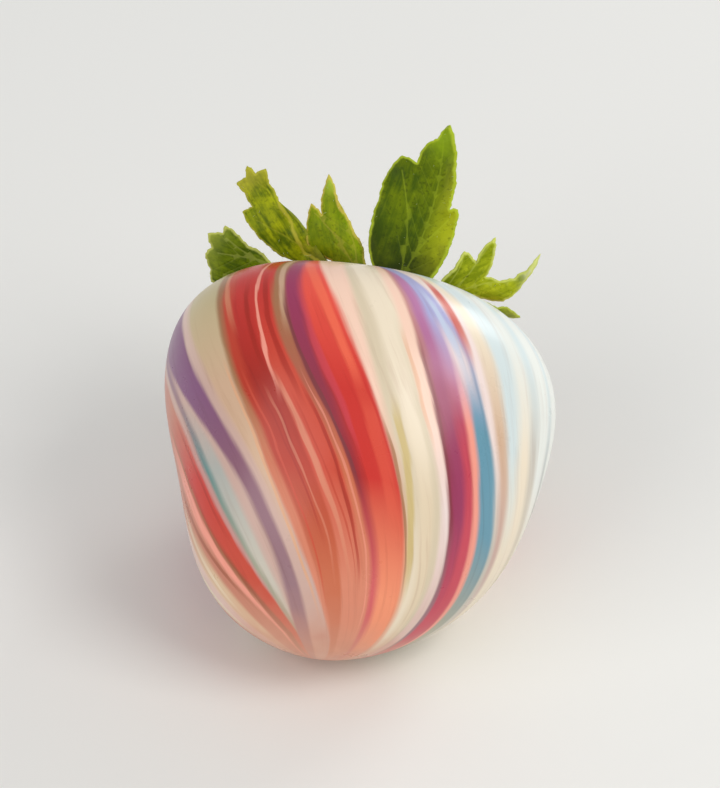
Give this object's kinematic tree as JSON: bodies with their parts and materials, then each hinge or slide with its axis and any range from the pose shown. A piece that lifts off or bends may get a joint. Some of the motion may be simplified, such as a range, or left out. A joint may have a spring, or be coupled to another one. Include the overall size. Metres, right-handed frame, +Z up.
{
  "type": "chocolate dipped strawberry",
  "caption": "Whole strawberry dipped up to its green calyx in a smooth white chocolate coat marbled with coloured stripes, lying on its side.",
  "frame": {"origin": "middle of the whole box in X and Y, in the plane of the foot that the berry lies on", "axes": "+Z up, -Y towards the tip and the side that shows, +Y towards the calyx, +X to the right seen from the tip"},
  "size_m": [0.0426, 0.0544, 0.0435],
  "materials": {
    "coat_marbled": "satin",
    "leaf_green": "matte",
    "stalk_pale_green": "matte"
  },
  "bodies": {
    "root": {"coated_berry": "coat_marbled", "calyx_disc": "stalk_pale_green", "sepal_01": "leaf_green", "sepal_02": "leaf_green", "sepal_03": "leaf_green", "sepal_04": "leaf_green", "sepal_05": "leaf_green", "sepal_06": "leaf_green", "sepal_07": "leaf_green", "sepal_08": "leaf_green", "sepal_09": "leaf_green", "sepal_10": "leaf_green"}
  },
  "joints": []
}
